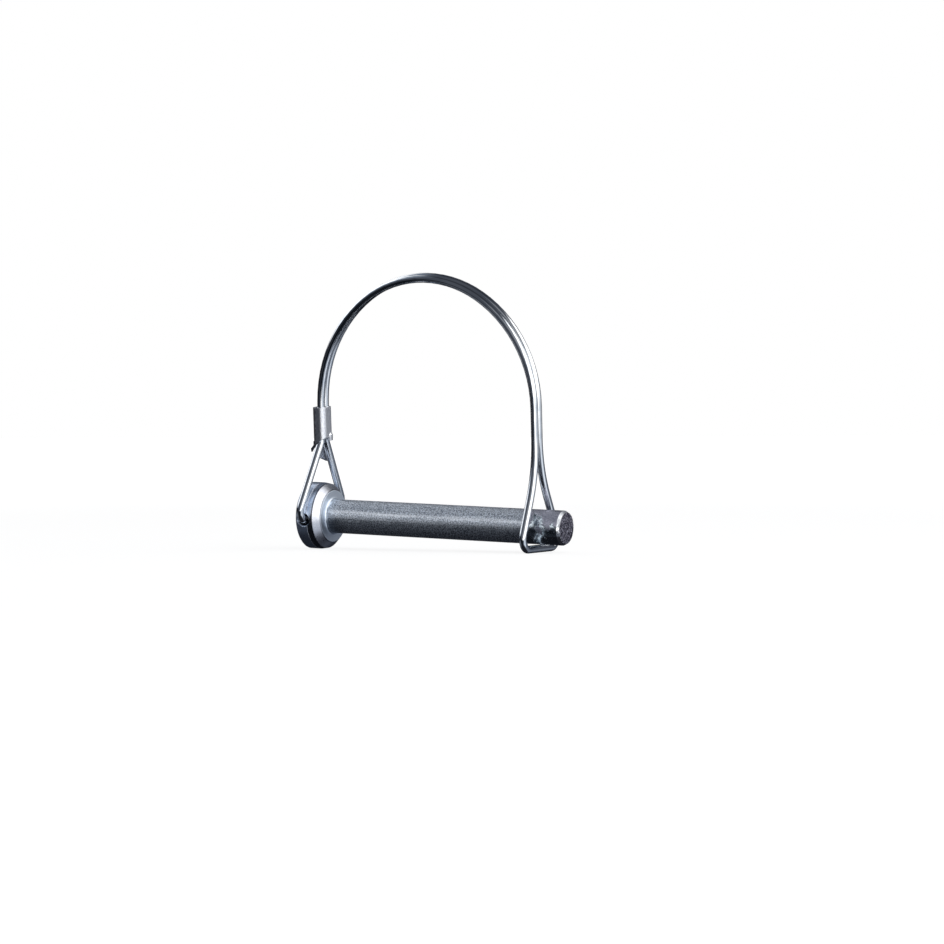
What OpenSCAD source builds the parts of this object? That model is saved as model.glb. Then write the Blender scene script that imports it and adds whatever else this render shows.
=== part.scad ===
// Lynch pin: a headed steel shank whose sprung wire bail swings over the head
// and snaps its loop round the tip.
// X runs along the shank to the tip, Z is up, -Y is the front.
// The origin is on the shank's axis at the head's cross hole. Millimetres.

/* [Shank] */
// Shank diameter
shank_d = 10; // [9:0.1:11]
// Grip: from the head's bearing ring to the tip
shank_len = 76.6; // [68:0.1:80]
// Length of the chamfer at the tip
tip_chamfer_len = 0.9; // [0.4:0.1:1.5]
// Depth of the chamfer at the tip
tip_chamfer_depth = 0.5; // [0.2:0.05:1]
// Fillet between shank and bearing ring
shank_fillet_r = 0.7; // [0.3:0.1:1.2]

/* [Head] */
// Diameter of the head's rim
head_d = 19.7; // [18:0.1:22]
// Length of the rim
head_rim_len = 5.5; // [5:0.1:6.5]
// Diameter the rim's front band narrows to
head_front_d = 19.1; // [17.5:0.1:19.6]
// Length of the rim's narrowing front band
head_band_len = 1.8; // [1:0.1:2.2]
// Length of the cone between rim and bearing ring
head_cone_len = 1.9; // [1:0.1:3]
// Outer diameter of the flat bearing ring
bearing_d = 15.2; // [13.5:0.1:17]
// Break on the head's rear edge
head_edge = 0.3; // [0.1:0.05:0.6]
// Diameter of the cross hole
cross_hole_d = 3.5; // [3.1:0.1:3.6]
// Countersink round the mouths of the cross hole
cross_hole_edge = 0.3; // [0.1:0.05:0.5]

/* [Wire] */
// Wire diameter
wire_d = 2.25; // [2:0.05:2.6]
// Gap between the two strands
strand_gap = 0.1; // [0.05:0.05:0.3]
// Length of each stub inside the head, from rim to end
stub_len = 6; // [4:0.1:8]
// Centreline bend radius beside the head
stub_bend_r = 3; // [2.4:0.1:3.4]
// Gap between the rim and the wire beside it
rim_gap = 0.8; // [0.6:0.05:1.2]

/* [Bow] */
// Lean of each leg beside the head, from upright
head_leg_deg = 29.5; // [28:0.5:33]
// Centreline bend radius where the head legs meet
head_leg_bend_r = 4; // [3:0.5:5]
// Step of the bow along the shank from the cross hole
bow_step = 2.2; // [0:0.05:3]
// Lean of the two strands towards the tip between the head legs and the bow
bow_lean_deg = 1.5; // [0:0.1:2]
// Crown of the bow above the shank's axis
bow_rise = 70.5; // [68:0.5:74]
// How much higher the rear strand runs
rear_lift = 0.45; // [0:0.05:1]
// Centreline radius of the bow on the head's side
bow_head_r = 38.3; // [37:0.1:41]
// Turn of the bow on the head's side
bow_head_deg = 55; // [50:1:60]
// Centreline radius of the crown
bow_crown_r = 33.1; // [31:0.1:35]
// Turn of the bow on the tip's side
bow_tip_deg = 58; // [54:1:62]

/* [Loop] */
// Distance of the loop from the tip
loop_setback = 8.75; // [6:0.05:12]
// Lean of each leg beside the tip, from upright
loop_leg_deg = 27.1; // [24:0.1:30]
// Centreline bend radius where the loop's legs meet
loop_neck_r = 38; // [20:1:40]
// Gap between the shank and each leg
loop_side_gap = 2.4; // [2:0.1:3]
// Gap between the shank and the bar under it
loop_bar_gap = 0.1; // [0.1:0.05:0.8]
// Lean of the whole bail to the front, which lays its bar level
loop_bar_deg = 6.1; // [0:0.1:9]
// Centreline bend radius at the bar's ends
loop_corner_r = 3.4; // [2.4:0.1:4]

/* [Ferrule] */
// Height of the ferrule's foot above the shank's axis
ferrule_foot = 22.4; // [22:0.1:24]
// Length of the ferrule
ferrule_len = 10; // [6:0.1:10.4]
// Sheet thickness
ferrule_sheet = 0.6; // [0.4:0.05:0.7]
// Gap between sheet and wire
ferrule_gap = 0.05; // [0.02:0.01:0.1]
// Where the sheet's outer layer ends on the head's rear side
lap_end_y = 1; // [0.4:0.1:1.1]
// How far the slanting foot drops on the head's rear side
foot_drop = 1.3; // [0:0.1:1.5]
// How far the slanting foot rises on the tip's side
foot_rise = 1.1; // [0:0.1:2]
// Where the slant ends in a step
foot_step_y = 0.3; // [-1:0.1:1]
// Swell of the crimped ear at the foot
ear_swell = 0.3; // [0.1:0.05:0.5]
// Height of the crimped ear
ear_h = 3.2; // [1.5:0.1:4]
// Half the angle the ear spans
ear_half_deg = 42; // [20:1:50]
// Flare of the tongue behind the head legs
tongue_deg = 7; // [6.5:0.5:10]
// Front edge of the tongue
tongue_front_y = 0.1; // [-1:0.1:0.8]
// Rear edge of the tongue at its foot
tongue_rear_y = 5.4; // [4:0.1:5.6]
// Drop of the tongue's front corner below the foot
tongue_front_drop = 5; // [3:0.1:5.5]
// Drop of the tongue's rear corner below the foot
tongue_rear_drop = 6.8; // [5.8:0.1:7.5]
// Width of the bent claw on the tongue's front side
claw_w = 0.8; // [0.5:0.05:1]
// Front edge of the claw
claw_y = -2.1; // [-2.3:0.05:-1.8]
// Reach of the claw behind the sleeve
claw_reach = 0.95; // [0.5:0.05:1.3]
// Drop of the claw's tip below the foot
claw_drop = 3.25; // [2.5:0.05:4]

/* [Hidden] */
$fn = 96;
spill = 1;             // how far cutters run past a face
skim = 0.01;           // how much thinner the bent wire is than its stubs
sides = 24;            // sides of the bent wire's section
bend_step = 4.5;       // largest turn between two sections of a wide bend, degrees
tight_step = 8;        // the same for a tight bend
tight_r = 6;           // a bend below this radius is tight
nil = 0.01;            // shortest straight worth a section of its own
shank_r = shank_d / 2;
wire_r = wire_d / 2;
rim_back = -head_rim_len / 2;
rim_front = head_rim_len / 2;
face_x = rim_front + head_cone_len;
tip_x = face_x + shank_len;
strand_y = wire_r + strand_gap / 2;

// head side of the wire
stub_end_y = head_d / 2 - stub_len;
leg_out_y = head_d / 2 + rim_gap + wire_r;
leg_base_y = leg_out_y - stub_bend_r + stub_bend_r * tan((90 + head_leg_deg) / 2);
head_meet_z = (leg_base_y - strand_y) / tan(head_leg_deg);

// bow
bow_span = tip_x - loop_setback - bow_step;
bow_crown_deg = 180 - bow_head_deg - bow_tip_deg;
bow_tip_r = (bow_span - bow_head_r * (1 - cos(bow_head_deg))
    - bow_crown_r * (cos(bow_head_deg) + cos(bow_tip_deg))) / (1 - cos(bow_tip_deg));
spring_z = bow_rise - bow_head_r * sin(bow_head_deg) - bow_crown_r * (1 - sin(bow_head_deg));
bow_foot_x = bow_step + bow_head_r * (1 - cos(bow_lean_deg));
bow_foot_z = spring_z + bow_head_r * sin(bow_lean_deg);

// loop
loop_x = tip_x - loop_setback;
loop_base_y = (shank_r + loop_side_gap + wire_r) / cos(loop_leg_deg);
loop_meet_z = (loop_base_y - strand_y) / tan(loop_leg_deg);
bar_z = -(shank_r + loop_bar_gap + wire_r) / cos(loop_bar_deg);

function unit(v) = v / norm(v);
function heading(a) = [cos(a), 0, sin(a)];

// Where the leaning strands stand at height z
function strand_x(z) = bow_foot_x - (bow_foot_z - z) * tan(bow_lean_deg);

// Angle the wire turns through at corner i of path p
function turn(p, i) = acos(unit(p[i][0] - p[i - 1][0]) * unit(p[i + 1][0] - p[i][0]));

// Straight length a bend takes up on each side of its corner
function reach(p, i) = i < 1 || i > len(p) - 2 ? 0 : p[i][1] * tan(turn(p, i) / 2);

// Corners of the three-arc bow in one strand, as [point, bend radius]
function bow_corners(y, z) =
    let (
        hub = [bow_step + bow_head_r, y, z],
        half_turn = (bow_head_deg - bow_lean_deg) / 2,
        tan_crown = bow_crown_r * tan(bow_crown_deg / 2),
        tan_tip = bow_tip_r * tan(bow_tip_deg / 2),
        first = hub + bow_head_r / cos(half_turn) * heading(180 - bow_head_deg + half_turn),
        joint = hub + bow_head_r * heading(180 - bow_head_deg),
        second = joint + tan_crown * heading(90 - bow_head_deg),
        third = second + (tan_crown + tan_tip) * heading(bow_tip_deg - 90)
    )
    [[first, bow_head_r], [second, bow_crown_r], [third, bow_tip_r]];

// Where a loop leg meets the bar, side -1 front and 1 rear; the bail is drawn upright
// here, so its bar slopes until the whole bail is leant
function bar_corner(side) =
    let (
        fall = tan(loop_bar_deg),
        lean = tan(loop_leg_deg),
        z = (bar_z - fall * side * loop_base_y) / (1 - fall * side * lean)
    )
    [loop_x, side * (loop_base_y - lean * z), z];

// One strand from its stub in the head to the bar
function strand(side, lift) = concat(
    [[[0, side * (stub_end_y + skim), 0], 0]],
    [[[0, side * leg_base_y, 0], stub_bend_r]],
    [[[strand_x(head_meet_z), side * strand_y, head_meet_z], head_leg_bend_r]],
    bow_corners(side * strand_y, spring_z + lift),
    [[[loop_x, side * strand_y, loop_meet_z], loop_neck_r]],
    [[bar_corner(side), loop_corner_r]]
);

function reversed(p) = [for (i = [len(p) - 1 : -1 : 0]) p[i]];

wire_path = concat(strand(-1, 0), reversed(strand(1, rear_lift)));

// v turned by angle a about the unit vector axis
function spin(v, axis, a) =
    v * cos(a) + cross(axis, v) * sin(a) + axis * (axis * v) * (1 - cos(a));

// Unit direction of the run after corner i, and the axis the wire bends about there
function along(p, i) = unit(p[i + 1][0] - p[i][0]);
function bend_axis(p, i) = unit(cross(along(p, i - 1), along(p, i)));

// A vector square to the wire, carried without twist to the run after corner i
function carried(p, i) = i == 0
    ? unit(cross(along(p, 0), [1, 0, 0]))
    : spin(carried(p, i - 1), bend_axis(p, i), turn(p, i));

// One section of the wire: points round centre c
function section(c, dir, up, r) =
    let (side = cross(dir, up))
    [for (k = [0 : sides - 1]) c + r * (up * cos(360 * k / sides) + side * sin(360 * k / sides))];

// Sections through the bend at corner i
function bend_sections(p, i, r) =
    let (
        dir = along(p, i - 1),
        axis = bend_axis(p, i),
        hub = p[i][0] - dir * reach(p, i) + cross(axis, dir) * p[i][1],
        spoke = -cross(axis, dir) * p[i][1],
        up = carried(p, i - 1),
        n = ceil(turn(p, i) / (p[i][1] < tight_r ? tight_step : bend_step)),
        straight = norm(p[i][0] - p[i - 1][0]) - reach(p, i) - reach(p, i - 1)
    )
    [for (k = [(straight < nil ? 1 : 0) : n])
        let (a = turn(p, i) * k / n)
        section(hub + spin(spoke, axis, a), spin(dir, axis, a), spin(up, axis, a), r)];

// Wire along a path of corners
module bent_wire(p, r) {
    last = len(p) - 1;
    rings = concat(
        [section(p[0][0], along(p, 0), carried(p, 0), r)],
        [for (i = [1 : last - 1]) each bend_sections(p, i, r)],
        [section(p[last][0], along(p, last - 1), carried(p, last - 1), r)]
    );
    count = len(rings);
    polyhedron(
        points = [for (ring = rings) each ring],
        faces = concat(
            [[for (k = [0 : sides - 1]) k]],
            [[for (k = [sides - 1 : -1 : 0]) (count - 1) * sides + k]],
            [for (i = [0 : count - 2], k = [0 : sides - 1])
                let (a = i * sides + k, b = i * sides + (k + 1) % sides)
                each [[a, a + sides, b], [b, a + sides, b + sides]]]
        )
    );
}

// Round stub that turns in the cross hole, side -1 front and 1 rear
module stub(side) {
    straight_end_y = leg_base_y - reach(wire_path, 1);
    rotate([-90 * side, 0, 0])
        translate([0, 0, stub_end_y])
            cylinder(h = straight_end_y - stub_end_y, d = wire_d);
}

// Turned outline of head and shank, radius against length
module pin_profile() {
    polygon([
        [0, rim_back],
        [head_d / 2 - head_edge, rim_back],
        [head_d / 2, rim_back + head_edge],
        [head_d / 2, rim_front - head_band_len],
        [head_front_d / 2, rim_front],
        [bearing_d / 2, face_x],
        [shank_r, face_x],
        [shank_r, tip_x - tip_chamfer_len],
        [shank_r - tip_chamfer_depth, tip_x],
        [0, tip_x]
    ]);
    difference() {
        translate([shank_r - tip_chamfer_depth, face_x - tip_chamfer_depth])
            square(shank_fillet_r + tip_chamfer_depth);
        translate([shank_r + shank_fillet_r, face_x + shank_fillet_r])
            circle(r = shank_fillet_r);
    }
}

module cross_hole() {
    mouth = sqrt(pow(head_d / 2, 2) - pow(cross_hole_d / 2, 2)) - cross_hole_edge;
    rotate([90 + loop_bar_deg, 0, 0]) {
        cylinder(h = head_d + 2 * spill, d = cross_hole_d, center = true);
        for (m = [0, 1])
            mirror([0, 0, m])
                translate([0, 0, mouth])
                    cylinder(h = 2 * spill, d1 = cross_hole_d, d2 = cross_hole_d + 4 * spill);
    }
}

module pin() {
    color([0.45, 0.48, 0.54])
        difference() {
            rotate([90, 0, 90])
                rotate_extrude()
                    pin_profile();
            cross_hole();
        }
}

module bail() {
    color([0.78, 0.81, 0.85])
        rotate([loop_bar_deg, 0, 0]) {
            bent_wire(wire_path, wire_r - skim);
            for (side = [-1, 1])
                stub(side);
        }
}

// Stadium round both strands
module round_both(r) {
    square([2 * r, 2 * strand_y], center = true);
    for (s = [-1, 1])
        translate([0, s * strand_y])
            circle(r = r);
}

// Cut that shapes the ferrule's foot: slanting in front of the step, level behind it
module foot_cut(inner_r) {
    outer = inner_r + ferrule_sheet;
    deep = foot_drop + spill;
    translate([0, foot_step_y, 0])
        rotate([90, 0, 0])
            linear_extrude(height = strand_y + outer + foot_step_y + spill)
                polygon([
                    [-outer - spill, -deep],
                    [outer + spill, -deep],
                    [outer + spill, foot_rise],
                    [outer, foot_rise],
                    [-outer, -foot_drop],
                    [-outer - spill, -foot_drop]
                ]);
    translate([-inner_r, foot_step_y - nil, -deep])
        cube([inner_r + outer + spill, strand_y + outer, deep]);
    translate([-outer - spill, strand_y, -deep])
        cube([2 * (outer + spill), outer + spill, deep]);
}

// Flat tongue that runs on down behind the head legs
module tongue(outer_r) {
    translate([-outer_r - ferrule_sheet / 4, 0, 0])
        rotate([0, tongue_deg, 0])
            rotate([90, 0, 90])
                linear_extrude(height = ferrule_sheet)
                    polygon([
                        [-strand_y, 0],
                        [lap_end_y, 0],
                        [strand_y + ferrule_sheet, -spill],
                        [tongue_rear_y, spill - tongue_rear_drop],
                        [tongue_rear_y - ferrule_sheet / 2, -tongue_rear_drop],
                        [tongue_front_y, -tongue_front_drop],
                        [tongue_front_y, -foot_drop],
                        [-strand_y, -foot_drop]
                    ]);
}

// Claw bent out at the front corner of the foot
module claw(inner_r, lap_r) {
    bend_z = -(foot_drop + claw_drop) / 2;
    translate([0, claw_y + claw_w, 0])
        rotate([90, 0, 0])
            linear_extrude(height = claw_w)
                polygon([
                    [-inner_r - 2 * ferrule_gap, 0],
                    [-lap_r, 0],
                    [-lap_r, ferrule_sheet / 3 - foot_drop],
                    [-lap_r - claw_reach, bend_z],
                    [-lap_r - claw_reach + ferrule_sheet / 4, -claw_drop],
                    [-lap_r - claw_reach / 4, bend_z],
                    [-inner_r - ferrule_sheet / 2, -foot_drop]
                ]);
}

// Folded sheet round both strands: one layer, and a second one on the head's rear side
module sleeve(outer_r) {
    round_both(outer_r);
    difference() {
        translate([-ferrule_sheet, 0])
            round_both(outer_r);
        translate([-2 * outer_r, lap_end_y])
            square([2 * outer_r, 2 * outer_r]);
    }
}

module ear(outer_r) {
    mid_r = outer_r - ferrule_sheet / 2;
    translate([0, strand_y, 0])
        rotate(-ear_half_deg)
            rotate_extrude(angle = 2 * ear_half_deg)
                polygon([
                    [mid_r, 0],
                    [outer_r + ear_swell, 0],
                    [outer_r + ear_swell, ear_h / 2],
                    [mid_r, ear_h]
                ]);
}

// Passage for the two leaning strands and the head legs that part at their foot
module strand_passage(inner_r) {
    half = ferrule_len / 2;
    leg_slack = ferrule_gap + head_leg_bend_r * (1 / cos(head_leg_deg / 2) - 1);
    for (side = [-1, 1])
        translate([0, side * strand_y, head_meet_z - ferrule_foot])
            rotate([180 + side * head_leg_deg, 0, 0])
                cylinder(h = foot_drop + 3 * spill, r = inner_r + leg_slack);
    translate([0, 0, half])
        rotate([0, bow_lean_deg, 0])
            translate([0, 0, -half - foot_drop - spill])
                linear_extrude(height = ferrule_len + foot_drop + 2 * spill)
                    round_both(inner_r);
}

module ferrule() {
    inner_r = wire_r + ferrule_gap;
    outer_r = inner_r + ferrule_sheet;
    lap_r = outer_r + ferrule_sheet;
    color([0.68, 0.70, 0.75])
        rotate([loop_bar_deg, 0, 0])
            translate([strand_x(ferrule_foot + ferrule_len / 2), 0, ferrule_foot]) {
                difference() {
                    union() {
                        difference() {
                            union() {
                                translate([0, 0, -foot_drop])
                                    linear_extrude(height = ferrule_len + foot_drop)
                                        sleeve(outer_r);
                                ear(outer_r);
                            }
                            foot_cut(inner_r);
                        }
                        tongue(outer_r);
                        claw(inner_r, lap_r);
                    }
                    strand_passage(inner_r);
                }
            }
}

pin();
bail();
ferrule();
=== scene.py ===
import bpy
import math
from mathutils import Matrix, Vector

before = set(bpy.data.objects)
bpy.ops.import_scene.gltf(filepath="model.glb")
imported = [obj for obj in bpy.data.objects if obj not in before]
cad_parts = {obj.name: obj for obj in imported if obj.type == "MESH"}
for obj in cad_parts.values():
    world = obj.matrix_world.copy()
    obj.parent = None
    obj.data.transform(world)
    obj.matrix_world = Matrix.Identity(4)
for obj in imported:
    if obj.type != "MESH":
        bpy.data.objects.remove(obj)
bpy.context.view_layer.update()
print("frame loaded:", sorted(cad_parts))

mm = 0.001                                 # lengths in the settings are in millimetres


# small helpers for building node trees

def newMaterial(name):
    mat = bpy.data.materials.new(name)
    mat.use_nodes = True
    mat.node_tree.nodes.clear()
    return mat, mat.node_tree


def addNode(tree, kind, inputs=None, **props):
    node = tree.nodes.new(kind)
    for key, value in props.items():
        setattr(node, key, value)
    for key, value in (inputs or {}).items():
        feed(tree, node.inputs[key], value)
    return node


def feed(tree, socket, value):
    # a socket takes another socket, a colour or a number
    if isinstance(value, bpy.types.NodeSocket):
        tree.links.new(value, socket)
    elif isinstance(value, tuple) and socket.type == "RGBA":
        socket.default_value = value + (1.0,)
    else:
        socket.default_value = value


def addMath(tree, operation, *values):
    node = addNode(tree, "ShaderNodeMath", operation=operation)
    for socket, value in zip(node.inputs, values):
        feed(tree, socket, value)
    return node.outputs[0]


def times(tree, a, b):
    return addMath(tree, "MULTIPLY", a, b)


def pulled(tree, value, factor, base):
    # base moved by factor times value, for edges that wander with a noise
    return addMath(tree, "MULTIPLY_ADD", value, factor, base)


def mixColour(tree, factor, a, b):
    node = addNode(tree, "ShaderNodeMix", data_type="RGBA")
    for index, value in ((0, factor), (6, a), (7, b)):
        feed(tree, node.inputs[index], value)
    return node.outputs[2]


def mixValue(tree, factor, a, b):
    node = addNode(tree, "ShaderNodeMix", data_type="FLOAT")
    for index, value in ((0, factor), (2, a), (3, b)):
        feed(tree, node.inputs[index], value)
    return node.outputs[0]


def rise(tree, value, low, high):
    # 0 below low, 1 above high, smooth between; low may be the larger one
    node = addNode(tree, "ShaderNodeMapRange", interpolation_type="SMOOTHSTEP")
    for key, spot in (("Value", value), ("From Min", low), ("From Max", high)):
        feed(tree, node.inputs[key], spot)
    return node.outputs[0]


def stripe(tree, value, centre, half, soft):
    # 1 within half of the centre, fading to 0 over soft
    away = addMath(tree, "ABSOLUTE", addMath(tree, "SUBTRACT", value, centre))
    return rise(tree, away, half + soft, half)


def noise(tree, vector, scale, detail, roughness):
    return addNode(tree, "ShaderNodeTexNoise", {
        "Vector": vector, "Scale": scale, "Detail": detail, "Roughness": roughness}).outputs["Fac"]


def stretch(tree, vector, factors):
    return addNode(tree, "ShaderNodeVectorMath", {0: vector, 1: factors}, operation="MULTIPLY").outputs[0]


def placeOn(tree):
    # place on the part in millimetres, as a vector and its three numbers
    source = addNode(tree, "ShaderNodeTexCoord").outputs["Object"]
    spot = stretch(tree, source, (1 / mm, 1 / mm, 1 / mm))
    split = addNode(tree, "ShaderNodeSeparateXYZ", {0: spot})
    return spot, split.outputs[0], split.outputs[1], split.outputs[2]


def rounded(tree, radius):
    return addNode(tree, "ShaderNodeBevel", {"Radius": radius * mm}, samples=6).outputs[0]


def bumped(tree, height, depth, normal=None):
    node = addNode(tree, "ShaderNodeBump", {"Height": height, "Strength": 1.0, "Distance": depth * mm})
    if normal is not None:
        feed(tree, node.inputs["Normal"], normal)
    return node.outputs[0]


def metalShader(tree, base, rough, normal):
    shader = addNode(tree, "ShaderNodeBsdfPrincipled", {
        "Base Color": base, "Roughness": rough, "Normal": normal, "Metallic": 1.0})
    addNode(tree, "ShaderNodeOutputMaterial", {"Surface": shader.outputs[0]})


def dress(nodeName, mat):
    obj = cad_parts[nodeName]
    obj.data.materials.clear()
    obj.data.materials.append(mat)


# plated pin: bright head, dull speckled shank, smoother tip

pinLook = {
    # places along the pin, and the softness of sharp changes between them, in millimetres
    "crease": 0.95, "rimEnd": 2.75, "ring": 4.65, "headEnd": (5.1, 5.6), "tipStart": (70.0, 76.0),
    "chamferStart": 80.35, "faceStart": 81.2, "faceSoft": 0.03, "sharp": 0.05,
    "bandWidth": 0.45, "bandGrowth": 1.3, "bandSoft": 0.15, "ringEdgeShadeBack": 0.16,
    # stripes as half width and softness; the painted highlight line lies round the shank and is in radians
    "creaseSize": (0.05, 0.06), "ringEdgeShadeSize": (0.08, 0.06), "ringSize": (0.04, 0.03),
    "highlightAngle": 0.32, "highlightSize": (0.02, 0.14),
    # heights, and places along, between which a tone fades in
    "bandDrop": (2.0, -5.0), "coneDrop": (2.0, -6.0), "ringDrop": (3.0, -4.0),
    "rootDrop": (1.5, -2.0), "rootAlong": (13.0, 5.8),
    # noises as scale, detail and roughness, then where each one rises from 0 to 1
    "grain": (2.8, 3.0, 0.65), "cloud": (0.35, 3.0, 0.6), "speckle": (3.36, 1.0, 0.5),
    "drawn": (1.0, 3.0, 0.6), "drawnStretch": (0.06, 1.6, 1.6),
    "mottleRise": (0.42, 0.59), "speckRise": (0.64, 0.70), "patchRise": (0.50, 0.58),
    "drawnRise": (0.5, 0.8), "highlightRise": (0.35, 0.6), "faceRise": (0.47, 0.66),
    "patchClimb": 0.04, "tipWander": 6.0, "coneWander": 5.0, "ringWander": 4.0,
    # how strongly each tone is laid on
    "headMottle": 0.4, "ringEdgeShadeDark": 0.8, "ringLowShade": 0.6, "shankEven": 0.3, "drawnPale": 0.6,
    "highlightPale": 0.45, "rootDark": 0.7, "tipMottle": 0.6,
    "rimBase": (0.60, 0.71, 0.88), "coneBase": (0.78, 0.80, 0.85), "headShade": (0.50, 0.51, 0.59),
    "ringBase": (0.74, 0.81, 0.90), "ringShade": (0.30, 0.34, 0.42), "bandShade": (0.10, 0.115, 0.15),
    "shankDark": (0.15, 0.175, 0.215), "shankPale": (0.86, 0.92, 1.0), "shankBase": (0.42, 0.47, 0.54),
    "rootShade": (0.06, 0.07, 0.09), "speck": (0.92, 0.95, 1.0),
    "tipBase": (0.50, 0.56, 0.60), "tipDull": (0.42, 0.42, 0.50), "chamferBase": (0.90, 0.92, 0.95),
    "faceDark": (0.05, 0.045, 0.07), "facePale": (0.80, 0.78, 0.90),
    "headRough": 0.30, "ringRough": 0.42, "shankRough": 0.42, "tipRough": 0.18, "dullRough": 0.38,
    "faceRough": 0.45, "roughSpread": 0.2,
    # relief: depth in millimetres, and the share of it on each part
    "grainDepth": 0.075, "drawnHeight": 0.5, "creaseHeight": 2.0, "headRelief": 0.3, "shankRelief": 1.0,
    "tipRelief": 0.15, "patchRelief": 1.3, "edgeRadius": 0.2,
}


def platedPin(cfg):
    mat, tree = newMaterial("zincPlatedPin")
    spot, x, y, z = placeOn(tree)
    grain = noise(tree, spot, *cfg["grain"])
    cloud = noise(tree, spot, *cfg["cloud"])
    drawn = noise(tree, stretch(tree, spot, cfg["drawnStretch"]), *cfg["drawn"])
    specks = rise(tree, noise(tree, spot, *cfg["speckle"]), *cfg["speckRise"])
    mottle = rise(tree, grain, *cfg["mottleRise"])
    patches = rise(tree, pulled(tree, z, cfg["patchClimb"], cloud), *cfg["patchRise"])
    sharp = cfg["sharp"]
    crease = stripe(tree, x, cfg["crease"], *cfg["creaseSize"])

    onCone = rise(tree, x, cfg["rimEnd"] - sharp, cfg["rimEnd"] + sharp)
    onRing = stripe(tree, x, cfg["ring"], *cfg["ringSize"])
    onShank = rise(tree, x, *cfg["headEnd"])
    onTip = rise(tree, pulled(tree, cloud, cfg["tipWander"], x), *cfg["tipStart"])
    onChamfer = rise(tree, x, cfg["chamferStart"] - sharp, cfg["chamferStart"] + sharp)
    onFace = rise(tree, x, cfg["faceStart"], cfg["faceStart"] + cfg["faceSoft"])

    # head: bluish rim with a front band of painted shade that widens downwards
    low = rise(tree, z, *cfg["bandDrop"])
    start = pulled(tree, low, -cfg["bandGrowth"], cfg["rimEnd"] - cfg["bandWidth"])
    band = rise(tree, addMath(tree, "SUBTRACT", x, start), 0.0, cfg["bandSoft"])
    rim = mixColour(tree, band, cfg["rimBase"], cfg["bandShade"])
    # pale line along the crease round the rim: painted highlight
    rim = mixColour(tree, crease, rim, cfg["coneBase"])

    # paler cone with painted shade towards the bottom, and a dark stripe of painted shade where it meets the
    # bright ring
    low = rise(tree, pulled(tree, cloud, cfg["coneWander"], z), *cfg["coneDrop"])
    cone = mixColour(tree, low, cfg["coneBase"], cfg["headShade"])
    head = mixColour(tree, onCone, rim, cone)
    head = mixColour(tree, times(tree, mottle, cfg["headMottle"]), head, cfg["headShade"])
    # dark stripe at the cone's edge beside the ring: painted shade
    ringEdgeShade = stripe(tree, x, cfg["ring"] - cfg["ringEdgeShadeBack"], *cfg["ringEdgeShadeSize"])
    head = mixColour(tree, times(tree, ringEdgeShade, cfg["ringEdgeShadeDark"]), head, cfg["shankDark"])
    # ring darker towards the bottom: painted shade
    low = rise(tree, pulled(tree, grain, cfg["ringWander"], z), *cfg["ringDrop"])
    ring = mixColour(tree, times(tree, low, cfg["ringLowShade"]), cfg["ringBase"], cfg["ringShade"])
    head = mixColour(tree, rise(tree, x, cfg["ring"] - sharp, cfg["ring"]), head, ring)

    # shank: speckled, with marks along it, a pale line of painted highlight round it, and painted shade on
    # the lower root beside the head
    shank = mixColour(tree, mottle, cfg["shankDark"], cfg["shankPale"])
    shank = mixColour(tree, cfg["shankEven"], shank, cfg["shankBase"])
    marks = times(tree, rise(tree, drawn, *cfg["drawnRise"]), cfg["drawnPale"])
    shank = mixColour(tree, marks, shank, cfg["shankPale"])
    shank = mixColour(tree, specks, shank, cfg["speck"])
    # pale line at one angle round the shank, broken up by the drawn marks: painted highlight
    around = addMath(tree, "ARCTAN2", z, times(tree, y, -1.0))
    highlightLine = stripe(tree, around, cfg["highlightAngle"], *cfg["highlightSize"])
    highlightLine = times(tree, highlightLine, rise(tree, drawn, *cfg["highlightRise"]))
    shank = mixColour(tree, times(tree, highlightLine, cfg["highlightPale"]), shank, cfg["speck"])
    # darker lower root beside the head: painted shade
    root = times(tree, rise(tree, x, *cfg["rootAlong"]), rise(tree, z, *cfg["rootDrop"]))
    shank = mixColour(tree, times(tree, root, cfg["rootDark"]), shank, cfg["rootShade"])

    # tip: smooth metal with duller patches, and a grained end face
    tip = mixColour(tree, patches, cfg["tipBase"], cfg["tipDull"])
    tip = mixColour(tree, times(tree, mottle, cfg["tipMottle"]), tip, cfg["shankDark"])
    face = mixColour(tree, rise(tree, grain, *cfg["faceRise"]), cfg["faceDark"], cfg["facePale"])

    base = mixColour(tree, onShank, head, shank)
    base = mixColour(tree, onTip, base, tip)
    base = mixColour(tree, onChamfer, base, cfg["chamferBase"])
    base = mixColour(tree, onFace, base, face)

    rough = mixValue(tree, onRing, cfg["headRough"], cfg["ringRough"])
    rough = mixValue(tree, onShank, rough, cfg["shankRough"])
    rough = mixValue(tree, onTip, rough, mixValue(tree, patches, cfg["tipRough"], cfg["dullRough"]))
    rough = mixValue(tree, onFace, rough, cfg["faceRough"])
    uneven = times(tree, addMath(tree, "SUBTRACT", grain, 0.5), cfg["roughSpread"])
    rough = addMath(tree, "ADD", rough, uneven)

    height = pulled(tree, drawn, cfg["drawnHeight"], grain)
    height = pulled(tree, crease, cfg["creaseHeight"], height)
    relief = mixValue(tree, onShank, cfg["headRelief"], cfg["shankRelief"])
    relief = mixValue(tree, onTip, relief, mixValue(tree, patches, cfg["tipRelief"], cfg["patchRelief"]))
    edges = rounded(tree, cfg["edgeRadius"])
    metalShader(tree, base, rough, bumped(tree, times(tree, height, relief), cfg["grainDepth"], edges))
    return mat


# bright spring wire

wireLook = {
    "base": (0.84, 0.86, 0.885), "shade": (0.66, 0.70, 0.75),
    "rough": 0.03, "roughSpread": 0.08, "grainDepth": 0.004,
    "fine": (3.0, 3.0, 0.6), "cloud": (0.25, 2.0, 0.5), "cloudRise": (0.4, 0.7),
    "joinWithin": 0.002, "edgeAngle": 40,                      # millimetres, degrees
}


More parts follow.
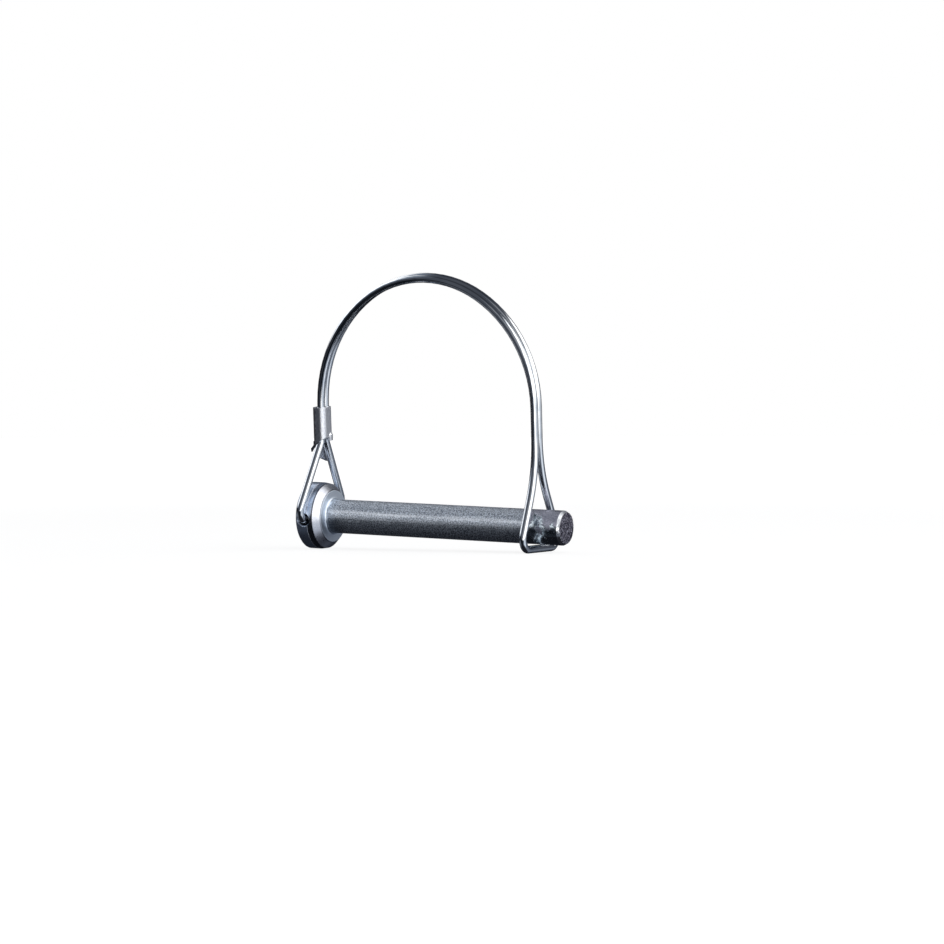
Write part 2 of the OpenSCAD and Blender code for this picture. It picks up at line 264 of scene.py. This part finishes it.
def brightWire(cfg):
    mat, tree = newMaterial("brightSpringWire")
    spot = placeOn(tree)[0]
    fine = noise(tree, spot, *cfg["fine"])
    cloud = noise(tree, spot, *cfg["cloud"])
    base = mixColour(tree, rise(tree, cloud, *cfg["cloudRise"]), cfg["base"], cfg["shade"])
    rough = pulled(tree, fine, cfg["roughSpread"], cfg["rough"])
    metalShader(tree, base, rough, bumped(tree, fine, cfg["grainDepth"]))
    return mat


def smoothWire(obj, cfg):
    # joins the facets of the bent wire and shades them as one round surface
    group = bpy.data.node_groups.new("smoothWire", "GeometryNodeTree")
    for way in ("INPUT", "OUTPUT"):
        group.interface.new_socket("Geometry", in_out=way, socket_type="NodeSocketGeometry")
    mesh = addNode(group, "NodeGroupInput").outputs[0]
    mesh = addNode(group, "GeometryNodeMergeByDistance", {
        "Geometry": mesh, "Distance": cfg["joinWithin"] * mm}).outputs[0]
    mesh = addNode(group, "GeometryNodeRemoveAttribute", {
        "Geometry": mesh, "Name": "custom_normal"}).outputs[0]
    mesh = addNode(group, "GeometryNodeSetShadeSmooth", {"Geometry": mesh, "Shade Smooth": True}).outputs[0]
    angle = addNode(group, "GeometryNodeInputMeshEdgeAngle").outputs[0]
    flat = addNode(group, "FunctionNodeCompare", {0: angle, 1: math.radians(cfg["edgeAngle"])},
                   operation="LESS_THAN").outputs[0]
    mesh = addNode(group, "GeometryNodeSetShadeSmooth", {"Geometry": mesh, "Shade Smooth": flat},
                   domain="EDGE").outputs[0]
    addNode(group, "NodeGroupOutput", {0: mesh})
    obj.modifiers.new("smoothWire", "NODES").node_group = group


# folded sheet ferrule

ferruleLook = {
    "base": (0.82, 0.84, 0.89), "dark": (0.07, 0.07, 0.09), "pale": (0.96, 0.97, 1.0),
    "rough": 0.24, "roughSpread": 0.2, "grainDepth": 0.06, "edgeRadius": 0.12,
    "grain": (2.4, 3.0, 0.6), "cloud": (0.8, 2.0, 0.5), "grainRise": (0.35, 0.7),
    # painted shade on one side: how dark, how its edge wanders, and where it fades in along x and y,
    # millimetres
    "shadeStrength": 0.7, "shadeWander": 1.2, "shadeAlong": (1.9, 1.1), "shadeAcross": (-2.4, -3.0),
}


def satinSheet(cfg):
    mat, tree = newMaterial("satinFerrule")
    spot, x, y = placeOn(tree)[:3]
    grain = noise(tree, spot, *cfg["grain"])
    cloud = noise(tree, spot, *cfg["cloud"])
    base = mixColour(tree, rise(tree, grain, *cfg["grainRise"]), cfg["base"], cfg["pale"])
    # dark zone towards low x and low y: painted shade
    edge = pulled(tree, cloud, cfg["shadeWander"], x)
    paintedShade = times(tree, rise(tree, edge, *cfg["shadeAlong"]), rise(tree, y, *cfg["shadeAcross"]))
    base = mixColour(tree, times(tree, paintedShade, cfg["shadeStrength"]), base, cfg["dark"])
    rough = pulled(tree, grain, cfg["roughSpread"], cfg["rough"])
    edges = rounded(tree, cfg["edgeRadius"])
    metalShader(tree, base, rough, bumped(tree, grain, cfg["grainDepth"], edges))
    return mat


dress("pin", platedPin(pinLook))
dress("bail", brightWire(wireLook))
smoothWire(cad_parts["bail"], wireLook)
dress("ferrule", satinSheet(ferruleLook))
print("finishes on")


cameraSet = {
    "azimuth": 27.9174, "elevation": 2.1789, "roll": 1.3398,   # degrees
    "distance": 837.94, "aim": (48.684, 3.409, 14.642), "lens": 110.34, "sensor": 36.0,
}


def placeCamera(cfg):
    az, el, roll = (math.radians(cfg[k]) for k in ("azimuth", "elevation", "roll"))
    back = Vector((math.sin(az) * math.cos(el), -math.cos(az) * math.cos(el), math.sin(el)))
    right = Vector((math.cos(az), math.sin(az), 0.0))
    up = back.cross(right)
    tiltedRight = math.cos(roll) * right + math.sin(roll) * up
    tiltedUp = math.cos(roll) * up - math.sin(roll) * right
    data = bpy.data.cameras.new("camera")
    data.sensor_width = cfg["sensor"]
    data.lens = cfg["lens"]
    camera = bpy.data.objects.new("camera", data)
    bpy.context.scene.collection.objects.link(camera)
    turn = Matrix((tiltedRight, tiltedUp, back)).transposed().to_4x4()
    camera.matrix_world = Matrix.Translation((Vector(cfg["aim"]) + cfg["distance"] * back) * mm) @ turn
    bpy.context.scene.camera = camera


placeCamera(cameraSet)


# pale floor under the head's rim and the wire's bar, and a plain soft studio round it

studio = {
    "floorSize": 6.0, "floorGrey": 0.2, "floorGlow": 0.86, "floorFade": (0.25, 1.0),   # metres
    "slopeLimit": 0.2, "slopeSteps": 30,                       # search for the slope it rests at
    "front": 27.9,                                             # heading of the room's front, degrees
    "lampAim": (0.035, 0.0, 0.03),
    # each lamp's power in watts, size and place in metres, and what it lights
    "lamps": {
        "softTop": (2.0, 0.7, (0.25, -0.1, 0.8), ("pin", "ferrule", "floor")),
        "softStreak": (0.37, 0.30, (-0.20, -0.412, 0.17), ("pin",)),
    },
}


def floorPlane(cfg):
    # plane that the part rests on with its head and its bar: its normal and its height
    pinSpots, bailSpots = ([v.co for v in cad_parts[n].data.vertices] for n in ("pin", "bail"))
    low, high = 0.0, cfg["slopeLimit"]
    for step in range(cfg["slopeSteps"]):
        slope = (low + high) / 2
        normal = Vector((-slope, 0.0, 1.0)).normalized()
        headLow, barLow = (min(s.dot(normal) for s in spots) for spots in (pinSpots, bailSpots))
        if barLow > headLow:
            low = slope
        else:
            high = slope
    return normal, min(headLow, barLow)


def addFloor(cfg):
    normal, height = floorPlane(cfg)
    half = cfg["floorSize"] / 2
    mesh = bpy.data.meshes.new("floor")
    corners = [(-half, -half, 0), (half, -half, 0), (half, half, 0), (-half, half, 0)]
    mesh.from_pydata(corners, [], [(0, 1, 2, 3)])
    floor = bpy.data.objects.new("floor", mesh)
    bpy.context.scene.collection.objects.link(floor)
    floor.rotation_euler = normal.to_track_quat("Z", "Y").to_euler()
    floor.location = normal * height
    mat, tree = newMaterial("paleFloor")
    matt = addNode(tree, "ShaderNodeBsdfDiffuse", {"Color": (cfg["floorGrey"],) * 3})
    spot = addNode(tree, "ShaderNodeTexCoord").outputs["Object"]
    away = addNode(tree, "ShaderNodeVectorMath", {0: spot}, operation="LENGTH").outputs["Value"]
    glow = mixValue(tree, rise(tree, away, *cfg["floorFade"]), cfg["floorGlow"], 1.0)
    seen = addNode(tree, "ShaderNodeLightPath").outputs["Is Camera Ray"]
    white = addNode(tree, "ShaderNodeEmission", {
        "Color": (1.0, 1.0, 1.0), "Strength": times(tree, seen, glow)})
    both = addNode(tree, "ShaderNodeAddShader", {0: matt.outputs[0], 1: white.outputs[0]})
    addNode(tree, "ShaderNodeOutputMaterial", {"Surface": both.outputs[0]})
    mesh.materials.append(mat)
    floor.visible_glossy = False           # the metal mirrors the room's own lower half
    floor.visible_shadow = False
    return floor


# soft panels of the room, laid one over the other; degrees, headings to the right of its front
room = {
    "walls": (0.070, 0.077, 0.095), "ceiling": (0.036, 0.040, 0.050), "ceilingFrom": (56, 72),
    "pit": (0.012, 0.013, 0.017), "pitFrom": (-40, -54),
    "allRound": (-200, 200), "backFrom": (142, 158), "backLevel": (-75, -4), "backSoft": 10,
    "backColour": (0.012, 0.014, 0.019),
    # heading from and to, elevation from and to, softness, lean of the left and right side,
    # slant of the lower edge, colour
    "panels": {
        "leftGlow": (-156, -74, 8, 60, 20, 0.0, 0.0, 0.0, (0.26, 0.30, 0.36)),
        "leftStrip": (-170, -58, -14, 8, 8, 0.0, 0.0, 0.0, (0.018, 0.019, 0.023)),
        "leftFloor": (-144, -86, -36, -15, 10, 0.0, 0.0, 0.0, (0.16, 0.17, 0.19)),
        "rightFloor": (-6, 136, -60, -6, 14, 0.0, 0.0, 0.0, (0.17, 0.19, 0.23)),
        "blueFloor": (34, 80, -42, -4, 16, 0.0, 0.0, 0.0, (0.84, 0.90, 0.98)),
        "rightWall": (20, 112, -4, 30, 10, 0.0, 0.0, 0.0, (0.70, 0.72, 0.75)),
        "rightHaze": (-20, 40, 6, 44, 12, 0.0, 0.0, 0.0, (0.28, 0.29, 0.31)),
        "rightBox": (-1, 136, -20, 54, 8, 0.9, -0.5, 0.33, (1.75, 1.75, 1.75)),
        "leftBox": (-166, -98, 12, 48, 10, 0.0, 0.0, 0.0, (1.55, 1.56, 1.59)),
        "blackFlag": (-66, 4, -58, -13, 8, 0.0, 0.0, 0.0, (0.004, 0.006, 0.009)),
    },
}


def panelMask(tree, heading, climb, span, level, soft, lean=(0.0, 0.0), slant=0.0):
    # 1 inside a panel of the sky, 0 outside, fading across its edges
    left, right = (addMath(tree, "MULTIPLY_ADD", climb, -side, heading) for side in lean)
    slanted = addMath(tree, "MULTIPLY_ADD", heading, -slant, climb)
    mask = 1.0                                                 # product of one soft edge a side
    for value, edge, out in ((left, span[0], -soft), (right, span[1], soft),
                             (slanted, level[0], -soft), (climb, level[1], soft)):
        side = rise(tree, value, math.radians(edge + out / 2), math.radians(edge - out / 2))
        mask = times(tree, side, mask)
    return mask


def addRoom(cfg, bands):
    world = bpy.data.worlds.new("studio")
    bpy.context.scene.world = world
    world.use_nodes = True
    tree = world.node_tree
    tree.nodes.clear()
    way = addNode(tree, "ShaderNodeTexCoord").outputs["Generated"]
    turn = math.radians(cfg["front"])
    axes = (math.sin(turn), -math.cos(turn), 0.0), (math.cos(turn), math.sin(turn), 0.0)
    ahead, aside = (addNode(tree, "ShaderNodeVectorMath", {0: way, 1: axis},
                            operation="DOT_PRODUCT").outputs["Value"] for axis in axes)
    heading = addMath(tree, "ARCTAN2", aside, ahead)
    climb = addMath(tree, "ARCSINE", addNode(tree, "ShaderNodeSeparateXYZ", {0: way}).outputs[2])
    colour = bands["walls"]
    back = rise(tree, addMath(tree, "ABSOLUTE", heading), *(math.radians(v) for v in bands["backFrom"]))
    level = panelMask(tree, heading, climb, bands["allRound"], bands["backLevel"], bands["backSoft"])
    colour = mixColour(tree, times(tree, back, level), colour, bands["backColour"])
    for low, high, bottom, top, soft, leftLean, rightLean, slant, rgb in bands["panels"].values():
        mask = panelMask(tree, heading, climb, (low, high), (bottom, top), soft, (leftLean, rightLean), slant)
        colour = mixColour(tree, mask, colour, rgb)
    for key, spot in (("ceiling", "ceilingFrom"), ("pit", "pitFrom")):
        mask = rise(tree, climb, *(math.radians(v) for v in bands[spot]))
        colour = mixColour(tree, mask, colour, bands[key])
    lit = addNode(tree, "ShaderNodeBackground", {"Color": colour, "Strength": 1.0})
    seen = addNode(tree, "ShaderNodeBackground", {"Color": (1.0, 1.0, 1.0), "Strength": 1.0})
    camera = addNode(tree, "ShaderNodeLightPath").outputs["Is Camera Ray"]
    pick = addNode(tree, "ShaderNodeMixShader", {0: camera, 1: lit.outputs[0], 2: seen.outputs[0]})
    addNode(tree, "ShaderNodeOutputWorld", {"Surface": pick.outputs[0]})


def addLamp(name, power, size, place, aim, pieces):
    # soft square lamp that lights the given pieces
    data = bpy.data.lights.new(name, "AREA")
    data.energy = power
    data.size = size
    lamp = bpy.data.objects.new(name, data)
    bpy.context.scene.collection.objects.link(lamp)
    lamp.location = place
    lamp.rotation_euler = (Vector(place) - Vector(aim)).to_track_quat("Z", "Y").to_euler()
    lit = bpy.data.collections.new(name + "Lit")
    for piece in pieces:
        lit.objects.link(piece)
    lamp.light_linking.receiver_collection = lit


pieces = {**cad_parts, "floor": addFloor(studio)}
addRoom(studio, room)
for name, (power, size, place, lights) in studio["lamps"].items():
    addLamp(name, power, size, place, studio["lampAim"], [pieces[n] for n in lights])
bpy.context.scene.view_settings.view_transform = "Standard"
print("studio set")
